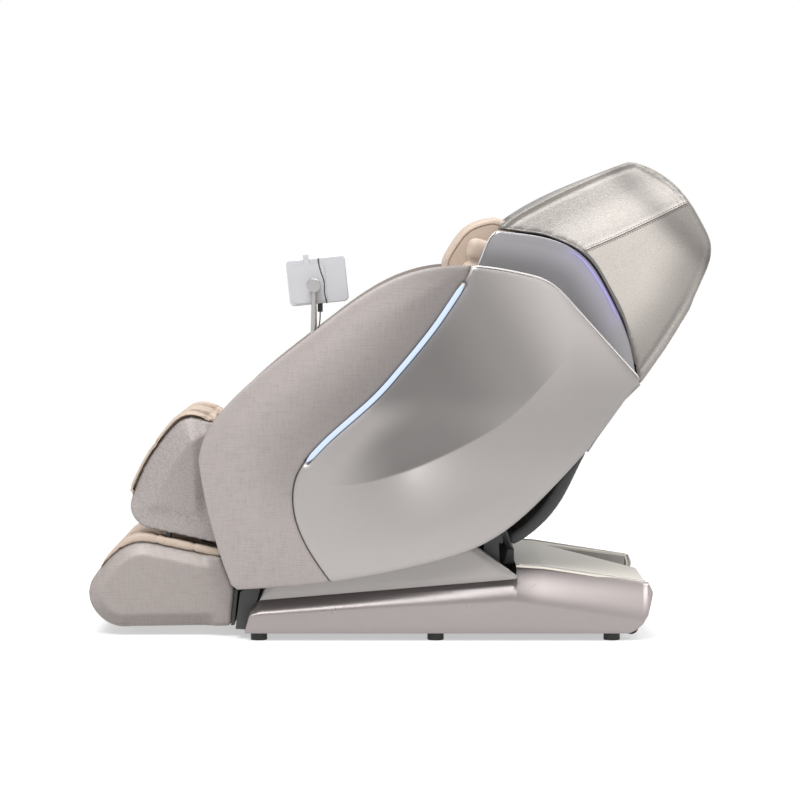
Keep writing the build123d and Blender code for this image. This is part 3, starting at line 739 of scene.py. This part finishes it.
def rear_painted_shading(piece):
    """Painted shade in the scoop and up beside the light strip, painted light towards the top of the rear
    edge and near the bottom, and a painted pool of light beside the strip.
    """
    p = get_co(piece.data)[:, [0, 2]]
    led_d, led_side, _ = distance_to(p, LED)
    crease_d, crease_side, run = distance_to(p, CREASE)
    deep = (1 - smoothstep((run - 0.50) / 0.50)) * smoothstep((run - 0.06) / 0.30)
    across = smoothstep((led_d - 0.012) / 0.10)
    above = smoothstep(0.5 + 0.5 * crease_side * crease_d / 0.0025) * (led_side > 0)
    low = smoothstep((0.86 - p[:, 1] + 0.25 * (p[:, 0] - 0.2)) / 0.30)
    scoop = 1.0 - 0.56 * deep * across * low
    slant = p[:, 0] - 0.6 * (0.843 - p[:, 1])
    upper = 0.42 + 0.20 * smoothstep((slant - 0.02) / 0.20) + 0.72 * smoothstep((slant - 0.20) / 0.26)
    # Painted light and shade by height on the panel.
    limit = np.interp(p[:, 1], [0.42, 0.50, 0.58, 0.65, 0.72, 0.80, 0.90],
                      [1.0, 0.90, 0.85, 0.89, 1.05, 1.28, 1.33])
    high = smoothstep((p[:, 1] - 0.55) / 0.09)
    tone = limit * (1 - above) + above * np.minimum(scoop * (1 - high) + upper * high, limit)
    # Painted light near the bottom of the panel.
    tone += 0.12 * (1 - smoothstep((p[:, 1] - 0.15) / 0.25))
    set_painted_shading(piece, tone)
    # Painted emission beside the light strip: the strip's light painted onto the panel.
    set_painted_shading(piece, 0.05 * np.exp(-(np.clip(led_d - 0.006, 0, 1) / 0.012)), "painted_glow")


def front_painted_shading(piece):
    """Painted shade: darker towards the light strip, most at the top."""
    p = get_co(piece.data)[:, [0, 2]]
    led_d, _, _ = distance_to(p, LED)
    high = 0.55 + 0.45 * smoothstep((p[:, 1] - 0.45) / 0.2)
    set_painted_shading(piece, 1.0 - 0.40 * (1 - smoothstep((led_d - 0.005) / 0.19)) * high)


def rear_relief(p, d):
    """Depth of the rear panel: scoop above the crease, wall below it, light groove, swell, rounded rim."""
    led_d, led_side, _ = distance_to(p, LED)
    crease_d, crease_side, run = distance_to(p, CREASE)
    deep = 0.044 * (1 - smoothstep((run - 0.42) / 0.58)) * smoothstep((run - 0.08) / 0.34)
    from_led = np.clip(led_d - 0.02, 0, 1)
    across = (from_led / (from_led + crease_d + 1e-6)) ** 1.7
    above = (crease_side > 0) & (led_side > 0)
    scoop = np.where(above, deep * across, 0)
    wall = np.where(crease_side <= 0, deep * (1 - np.clip(crease_d / 0.17, 0, 1)) ** 1.4, 0)
    groove = 0.004 * (1 - smoothstep((led_d - 0.0065) / 0.002))
    swell = 0.006 * hump(p[:, 0], 0.42, 0.05) * smoothstep((p[:, 1] - 0.55) / 0.2)
    rim = PANEL_OUT - rounded_edge(d, 0.005) - 0.004 * (1 - smoothstep(d / 0.016))
    return rim - scoop - wall - groove - 0.006 + swell


def front_relief(p, d):
    """Depth of the front panel: slightly crowned, with a rounded rim."""
    crown = 0.010 * (1 - smoothstep(d / 0.09))
    return PANEL_OUT - rounded_edge(d, 0.004) - 0.002 * (1 - smoothstep(d / 0.010)) - crown


CREASE_GAPS = (-0.012, -0.009, -0.006, -0.003, -0.001, 0.0015, 0.005)
LED_GAPS = (-0.010, -0.0085, -0.0065, -0.003, 0.003, 0.0065, 0.0085, 0.010)
mesh_lines = [offset_line(CREASE, gap) for gap in CREASE_GAPS] + [offset_line(LED, gap) for gap in LED_GAPS]
for word, sign in SIDES:
    node = f"side_panel_rear_{word}"
    rear = relief_panel(f"rear_panel_skin_{word}", node, sign * PANEL_BACK, rear_relief, M["silver_painted_shading"],
                        lines=mesh_lines, soften=[(CORNER, CORNER_REACH)])
    rear_painted_shading(rear)
    stand_for(rear, node)
    # A thin light bead along the panel's top edge stands for the rounded edge; its light colour is a painted
    # highlight.
    border = resample(outline_at(node, sign * PANEL_BACK), 0.006)
    for _ in range(CORNER_PASSES):
        border = evened(border, nearness(border, CORNER, CORNER_REACH))
    top_run = border[(border[:, 1] > 0.674) & (border[:, 0] > 0.186)]
    top_run = top_run[np.argsort(top_run[:, 0] - top_run[:, 1] * 0.5)]
    radii = ends_tapered(len(top_run), 0.0021, 0.03)
    bevel = bead(f"panel_bevel_{word}", at_side(top_run, sign * BEVEL_Y), radii, M["edge"], "seat", sides=8)
    node = f"side_panel_front_{word}"
    front = relief_panel(f"front_panel_skin_{word}", node, sign * PANEL_BACK, front_relief, M["woven_painted_shading"])
    front_painted_shading(front)
    stand_for(front, node)
    radii = ends_tapered(len(LED), 0.0066, 0.04)
    strip = bead(f"led_strip_{word}", at_side(LED, sign * LED_Y), radii, M["led"], "seat", 0.45)
    if word == "left":
        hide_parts("led_strips")

# ------------------------------------------------------------------ base covers (millimetres)

SKIRT_OUT = 325.0
SHOULDER_DEPTH = 40.0
WING_END = 303
DECK_SIDE_Y = 0.2845


def base_top(x):
    """Upper edge of the side cover, with the step where the wing cover ends."""
    return np.interp(x, [-389, -383, -377, -366, -352, 303, 303.6, 372, 642, 649],
                     [30, 50, 72, 90, 103, 157.6, 190, 187, 146, 128])


def base_low(x):
    """Lower edge of the side cover."""
    return np.interp(x, [-389, 590, 610, 625, 638, 645, 649], [20, 20, 30, 44, 66, 96, 120])


def base_crease(x):
    """Line between the flat lower face and the shoulder."""
    line = np.interp(x, [-420, -45, 300, 424, 680], [62, 86, 102, 84, 44])
    return np.clip(line, base_low(x) + 3, base_top(x) - 5)


def base_full_top(x):
    """Where the shoulder would end if the wing cover didn't stand on it."""
    return np.maximum(base_top(x), np.interp(x, [-389, -352, 303], [30, 120, 190]))


def turn_in(share):
    """How far the shoulder has turned in at this share of its height."""
    return 0.30 * share + 0.70 * float(smoothstep(share))


BASE_BENDS = [-383, -377, -366, -352, WING_END, WING_END + 0.6, 372, 590, 610, 625, 638, 642, 645, 649]
stations = np.unique(np.concatenate([np.arange(-389, 649, 9.0), BASE_BENDS]))


def skirt_painted_shading(piece):
    """Painted highlight on the shoulder behind the wing cover, with a darker top edge; painted shadow on the
    shoulder under the wing cover.
    """
    co = get_co(piece.data) * 1000
    crease = base_crease(co[:, 0])
    share = (co[:, 2] - crease) / np.maximum(base_full_top(co[:, 0]) - crease, 1)
    rearward = smoothstep((co[:, 0] - 270) / 110)
    painted_shoulder_highlight = (1 + 0.62 * smoothstep(share / 0.30) * (1 - 1.25 * smoothstep((share - 0.42) / 0.42))
                   - 0.25 * smoothstep((share - 0.85) / 0.15))
    painted_wing_shadow = 1 - 0.46 * smoothstep((share - 0.02) / 0.20) - 0.28 * smoothstep((share - 0.55) / 0.20)
    set_painted_shading(piece, painted_shoulder_highlight * rearward + painted_wing_shadow * (1 - rearward))


def wing_relief(p, d):
    return WING_OUT - rounded_edge(d, 0.005) - 0.004 * (1 - smoothstep((d - 0.004) / 0.010))


for word, sign in SIDES:
    rows = []
    for x in stations:
        low, crease, top = base_low(x), base_crease(x), base_top(x)
        full = base_full_top(x)
        depth = SHOULDER_DEPTH * min(1.0, (full - crease) / 55.0)
        inner = SKIRT_OUT - depth * (1 if x > WING_END else turn_in((top - crease) / (full - crease)))
        row = [(inner - 3, low + 1), (SKIRT_OUT - 2.5, low), (SKIRT_OUT - 0.8, low + 0.8)]
        row.append((SKIRT_OUT, low + 2.5))
        row += [(SKIRT_OUT, low + 2.5 + (crease - 1.2 - low - 2.5) * k / 4) for k in (1, 2, 3, 4)]
        for s in np.linspace(0.02, 1, 15):
            z = crease + (top - crease) * s
            row.append((SKIRT_OUT - depth * turn_in((z - crease) / (full - crease)), z))
        row += [(inner - 1.2, top + 0.6), (inner - 3, top - 0.6)]
        rows.append([(x, y, z) for y, z in row])
    verts = np.array(rows).reshape(-1, 3) / 1000 * (1, sign, 1)
    width = len(rows[0])
    faces = []
    for i in range(len(rows) - 1):
        for k in range(width):
            j = (k + 1) % width
            faces.append((i * width + k, i * width + j, (i + 1) * width + j, (i + 1) * width + k))
    count = len(verts)
    verts = np.vstack([verts, verts[:width], verts[count - width:]])
    faces.append(tuple(range(count, count + width)))
    faces.append(tuple(range(count + width, count + 2 * width))[::-1])
    skirt = make_object(f"base_side_skin_{word}", verts, faces, M["shoulder_painted_shading"], "base")
    fix_normals(skirt)
    skirt_painted_shading(skirt)
    stand_for(skirt, f"base_side_cover_{word}")
    node = f"wing_cover_{word}"
    wing = relief_panel(f"wing_skin_{word}", node, sign * WING_BACK, wing_relief, M["silver"])
    stand_for(wing, node)
    # A thin light bead along the deck's side edge; its light colour is a painted highlight.
    deck_line = mm(*((x, base_top(x) + 1.8) for x in np.arange(306, 642, 8.0)))
    deck_line = at_side(deck_line, sign * DECK_SIDE_Y)
    trim = bead(f"deck_edge_{word}", deck_line, 0.0016, M["edge"], "base", sides=8)

# ------------------------------------------------------------------ hood, accent panels and their light

HOOD_RIM = smooth_curve(mm((251, 1047), (314, 1095), (472, 1174), (590, 1220), (637, 1207), (714, 1152),
                           (770, 1070), (797, 1004), (776, 922), (744, 845), (684, 746), (618, 652)), 0.010)
HOOD_LOW = smooth_curve(mm((610, 680), (578, 807), (539, 889), (480, 978), (390, 1026), (313, 1040),
                           (253, 1048)), 0.008)
SEAM = smooth_curve(mm((462, 988), (560, 1030), (640, 1068), (741, 1117)), 0.006)
VIOLET = smooth_curve(mm((442, 990), (474, 966), (510, 916), (534, 876), (560, 822)), 0.005)
LIP = smooth_curve(mm((251, 1043), (238, 1030), (225, 1008), (196, 932)), 0.004)
hood = remeshed("hood_skin", "hood_shell", 0.0065, 5, M["grain_painted_shading"])
co = get_co(hood.data).copy()
flat = co[:, [0, 2]]
rim_d, _, _ = distance_to(flat, HOOD_RIM)
seam_d, seam_side, _ = distance_to(flat, SEAM)
outer = smoothstep((np.abs(co[:, 1]) - 0.18) / 0.07)
facet = 0.012 * smoothstep(seam_d / 0.10) - 0.004 * hump(seam_d, 0, 0.005)
behind = smoothstep((0.98 - co[:, 2]) / 0.2)
groove_depth = 0.002 + 0.004 * behind
roll = 0.003 * hump(rim_d, 0.006, 0.006) - groove_depth * hump(rim_d, 0.017 + 0.008 * behind, 0.0055)
co[:, 1] += np.sign(co[:, 1]) * outer * (roll - facet * 0.6)
set_co(hood.data, co)
# Painted light and shade on the hood: a dark band at the upper rear corner, darker towards the front, lighter
# on the lower part below the seam, and darker along the rim.
band = hump(co[:, 0] + co[:, 2], 1.757, 0.042)
painted_front_shade = 1 - smoothstep((co[:, 0] - 0.34) / 0.20)
below = smoothstep(0.5 - 0.5 * seam_side * seam_d / 0.004) * outer
painted_lower_light = 0.95 * smoothstep((rim_d - 0.03) / 0.12) * smoothstep((co[:, 2] - 0.62) / 0.27) * below
rim_shade = (0.22 * hump(rim_d, 0, 0.010) + 0.25 * behind * hump(rim_d, 0.026, 0.007)
             - 0.15 * behind * hump(rim_d, 0.010, 0.007))
set_painted_shading(hood, (1.10 - 0.24 * painted_front_shade + painted_lower_light) * (1 - 0.36 * band * outer) - rim_shade)
stand_for(hood, "hood_shell")
hood_tree = tree_of(hood)
STITCH_GAP = 0.0048


def accent_relief(p, d):
    return ACCENT_OUT - rounded_edge(d, 0.005) - 0.004 * (1 - smoothstep(d / 0.03))


def accent_painted_shading(piece):
    """Painted highlight along the hood's lower edge, with a painted dark band beside it and painted violet
    light from the strip on the panel.
    """
    p = get_co(piece.data)[:, [0, 2]]
    low_d, _, _ = distance_to(p, HOOD_LOW)
    light_d, _, _ = distance_to(p, VIOLET)
    set_painted_shading(piece, 0.88 + 0.22 * hump(low_d, 0, 0.05) - 0.22 * hump(low_d, 0.085, 0.03))
    set_painted_shading(piece, 0.16 * np.exp(-light_d / 0.022), "painted_glow")


for word, sign in SIDES:
    line = on_side(hood_tree, HOOD_LOW[2:-2] + (0.002, 0.004), sign, 0.0005)
    piping = bead(f"hood_piping_{word}", line, ends_tapered(len(line), 0.0036, 0.03), M["piping"], "back")
    line = on_side(hood_tree, SEAM, sign, 0.0006)
    radii = ends_tapered(len(line), 0.0013, 0.02)
    bead(f"hood_seam_{word}", line, radii, M["thread"], "back", sides=8)
    for n, gap in enumerate((-STITCH_GAP, STITCH_GAP)):
        line = on_side(hood_tree, offset_line(SEAM, gap), sign, 0.0004)
        stitches(f"hood_stitch_{word}_{n}", line, M["thread"], "back")
    node = f"accent_panel_{word}"
    accent = relief_panel(f"accent_skin_{word}", node, sign * ACCENT_BACK, accent_relief, M["accent_painted_shading"])
    accent_painted_shading(accent)
    stand_for(accent, node)
    radii = ends_tapered(len(VIOLET), 0.0026, 0.2)
    strip = bead(f"accent_light_{word}", at_side(VIOLET, sign * VIOLET_Y), radii, M["violet"], "back", 0.6)
    if word == "left":
        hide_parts("accent_lights")
    # A thin light bead along the accent panel's lip; its light colour is a painted highlight.
    radii = ends_tapered(len(LIP), 0.0022, 0.1)
    lip = bead(f"accent_lip_{word}", at_side(LIP, sign * LIP_Y), radii, M["edge"], "back", sides=8)

# ------------------------------------------------------------------ calf and foot rest shells

CALF_SIDE_Y, FOOT_SIDE_Y = 0.242, 0.252
for node, piece_name, mat, side_y, wide, drop in (
        ("calf_shell", "calf_skin", M["calf_painted_shading"], CALF_SIDE_Y, 0.062, 0.024),
        ("foot_shell", "foot_skin", M["foot_painted_shading"], FOOT_SIDE_Y, 0.034, 0.020)):
    loop = outline_at(node, -side_y)
    shell = remeshed(piece_name, node, 0.0055, 3, mat)
    co = get_co(shell.data).copy()
    d, _, _ = distance_to(co[:, [0, 2]], loop, True)
    outer = smoothstep((np.abs(co[:, 1]) - (side_y - 0.05)) / 0.05)
    bevel = drop * (1 - np.clip(d / wide, 0, 1)) * smoothstep((-0.455 - co[:, 0]) / 0.05)
    if node == "calf_shell":
        bevel *= smoothstep((co[:, 2] - 0.27) / 0.10)
    co[:, 1] -= np.sign(co[:, 1]) * outer * bevel
    set_co(shell.data, co)
    # Painted light and shade: lighter where the shell faces up, darker where it faces down.
    raise_up = vertex_normals(shell.data)[:, 2]
    set_painted_shading(shell, 1.0 + 0.10 * np.clip(raise_up * 3, 0, 1) - 0.18 * np.clip(-raise_up * 3, 0, 1))
    stand_for(shell, node)

# ------------------------------------------------------------------ cushions and pads

LEAN = math.radians(15.5)


def channels(value, pitch, start, depth, width):
    """Sewn channels across a cushion at an even pitch."""
    gap = np.abs((value - start + pitch / 2) % pitch - pitch / 2)
    return -depth * hump(gap, 0, width) + depth * 0.35 * (1 - hump(gap, 0, width * 2.5))


def prism(outline, half):
    """Straight solid between y = -half and y = half."""
    n = len(outline)
    verts = [(x, -half, z) for x, z in outline] + [(x, half, z) for x, z in outline]
    faces = [tuple(range(n)), tuple(range(n, 2 * n))[::-1]]
    faces += [(i, i + n, (i + 1) % n + n, (i + 1) % n) for i in range(n)]
    return np.array(verts), faces


def cushion(name, node, voxel, passes, pattern, solid=None):
    """Padded tan piece in place of a CAD node; pattern(points) is how far its skin stands out."""
    made = remeshed(name, node, voxel, passes, M["tan"], solid)
    co = get_co(made.data).copy()
    co += vertex_normals(made.data) * pattern(co)[:, None]
    set_co(made.data, co)
    stand_for(made, node)
    return made


def seat_quilt(c):
    side_seams = hump(np.abs(c[:, 1]), 0.165, 0.006)
    return channels(c[:, 0], 0.105, -0.30, 0.009, 0.007) - 0.010 * side_seams


def back_quilt(c):
    up_the_back = c[:, 2] * math.cos(LEAN) + c[:, 0] * math.sin(LEAN)
    side_seams = hump(np.abs(c[:, 1]), 0.150, 0.006)
    return channels(up_the_back, 0.095, 0.60, 0.008, 0.007) - 0.009 * side_seams


def pillow_crown(c):
    return -0.006 * hump(c[:, 1], 0, 0.005) + 0.006 * (1 - np.clip(np.abs(c[:, 1]) / PILLOW_HALF, 0, 1) ** 2)


def calf_quilt(c):
    sides_in = -0.008 * smoothstep((np.abs(c[:, 1]) - 0.19) / 0.045)
    return sides_in + channels(c[:, 2] * 0.9 - c[:, 0] * 0.45, 0.085, 0.56, 0.002, 0.003)


PILLOW_HALF = 0.15
PILLOW_FRONT = smooth_curve(mm((138, 890), (121, 955), (141, 1001), (174, 1045), (208, 1065), (253, 1075),
                               (282, 1064)), 0.012)
PILLOW_REAR = mm((306, 1036), (285, 960), (262, 880), (160, 872))
PILLOW = np.vstack([PILLOW_FRONT, PILLOW_REAR])
cushion("seat_cushion_sewn", "seat_cushion", 0.0075, 8, seat_quilt)
cushion("back_cushion_sewn", "back_cushion", 0.0075, 8, back_quilt)
pillow = cushion("head_pillow_sewn", "head_pillow", 0.0055, 9, pillow_crown, prism(PILLOW, PILLOW_HALF))
cushion("shoulder_pads_sewn", "shoulder_pads", 0.006, 12,
        lambda c: -0.006 + channels(c[:, 2], 0.060, 0.82, 0.004, 0.005))
cushion("calf_pad_sewn", "calf_pad", 0.0055, 5, calf_quilt)
cushion("foot_pad_sewn", "foot_pad", 0.0055, 5, lambda c: channels(c[:, 0], 0.095, -0.62, 0.002, 0.003))
for word, sign in SIDES:
    cushion(f"arm_trim_sewn_{word}", f"arm_trim_{word}", 0.0075, 5,
            lambda c: channels(c[:, 0], 0.16, -0.2, 0.004, 0.005))
low_cover = remeshed("lower_back_fabric", "lower_back_cover", 0.0065, 4, M["dark_fabric"])
stand_for(low_cover, "lower_back_cover")

pillow_tree = tree_of(pillow)
PILLOW_MIDDLE = np.array((0.215, 0.96))
inset = PILLOW_FRONT + (PILLOW_MIDDLE - PILLOW_FRONT) * 0.10
for word, sign in SIDES:
    line = on_side(pillow_tree, inset, sign, 0.0004)
    bead(f"pillow_piping_{word}", line, 0.0020, M["thread_tan"], "back", sides=8)

# ------------------------------------------------------------------ tablet cable and the strap on the tablet

CABLE_RADIUS = 0.0016
STRAP_Y = -0.2888
ROUTE = mm((-197, -280, 838), (-197, -280, 812), (-203, -294, 792), (-203, -294, 776))
curve_data = bpy.data.curves.new("cable_line", "CURVE")
curve_data.dimensions = "3D"
spline = curve_data.splines.new("NURBS")
spline.points.add(len(ROUTE) - 1)
for point, at in zip(spline.points, ROUTE):
    point.co = (*at, 1)
spline.order_u = 3
spline.use_endpoint_u = True
spline.resolution_u = 16
curve = bpy.data.objects.new("cable_line", curve_data)
bpy.context.scene.collection.objects.link(curve)
line_mesh = bpy.data.meshes.new_from_object(curve.evaluated_get(bpy.context.evaluated_depsgraph_get()))
line = np.array([v.co for v in line_mesh.vertices])
bpy.data.objects.remove(curve)
bpy.data.meshes.remove(line_mesh)
cable = bead("tablet_cable_flex", line, CABLE_RADIUS, M["cable"], None)
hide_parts("tablet_cable")
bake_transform(cable)

strap_line = smooth_curve(mm((-201.5, 976), (-201, 964), (-195, 940), (-187, 916), (-185, 884),
                             (-179, 859)), 0.003)
radii = ends_tapered(len(strap_line), 0.0016, 0.03)
strap = bead("tablet_strap", at_side(strap_line, STRAP_Y), radii, M["dark"], "tablet", 0.7, 8)

# dark closing piece behind the mechanism opening, on the base just ahead of the rear deck
shroud = remeshed("mechanism_shroud", "base_pan", 0.004, 2, M["dark"],
                  solid=prism(mm((272, 184), (301, 184), (301, 226), (282, 228)), 0.22))

# ------------------------------------------------------------------ light and stage

floor_mesh = bpy.data.meshes.new("floor")
floor_mesh.from_pydata([(-3.6, -3.4, 0), (3.6, -3.4, 0), (3.6, 2.4, 0), (-3.6, 2.4, 0)], [], [(0, 1, 2, 3)])
floor = bpy.data.objects.new("floor", floor_mesh)
bpy.context.scene.collection.objects.link(floor)
floor_mat, _, _, floor_shader = material("floor")
floor_shader.inputs["Base Color"].default_value = (0.55, 0.55, 0.55, 1)
floor_shader.inputs["Emission Color"].default_value = (1, 1, 1, 1)
floor_shader.inputs["Emission Strength"].default_value = 0.50
floor_shader.inputs["Roughness"].default_value = 0.9
floor_shader.inputs["Specular IOR Level"].default_value = 0.1
floor_mesh.materials.append(floor_mat)


def area_light(name, at, aim, size, power):
    data = bpy.data.lights.new(name, "AREA")
    data.shape = "RECTANGLE"
    data.size, data.size_y = size
    data.energy = power
    made = bpy.data.objects.new(name, data)
    made.location = at
    made.rotation_euler = (Vector(aim) - Vector(at)).to_track_quat("-Z", "Y").to_euler()
    bpy.context.scene.collection.objects.link(made)


area_light("key", (-1.2, -3.6, 4.8), (0, 0, 0.4), (3.2, 2.4), 330)
area_light("overhead", (0.3, 0.8, 4.6), (0.1, 0, 0.5), (4.5, 3.0), 170)
area_light("rear_fill", (3.6, 1.5, 2.6), (0.2, 0, 0.6), (1.6, 2.2), 60)

world = bpy.data.worlds.new("world")
bpy.context.scene.world = world
world.use_nodes = True
nodes, links = world.node_tree.nodes, world.node_tree.links
where = nodes.new("ShaderNodeTexCoord")
split = nodes.new("ShaderNodeSeparateXYZ")
links.new(where.outputs["Generated"], split.inputs["Vector"])
sky = ramp(nodes, links, split.outputs["Z"], [(0.0, (1.0, 1.0, 1.0)), (0.14, (1.0, 1.0, 1.0)),
                                              (0.30, (0.42, 0.42, 0.43)), (1.0, (0.5, 0.5, 0.5))])
links.new(sky, nodes["Background"].inputs["Color"])
nodes["Background"].inputs["Strength"].default_value = 1.0
bpy.context.scene.view_settings.view_transform = "Standard"
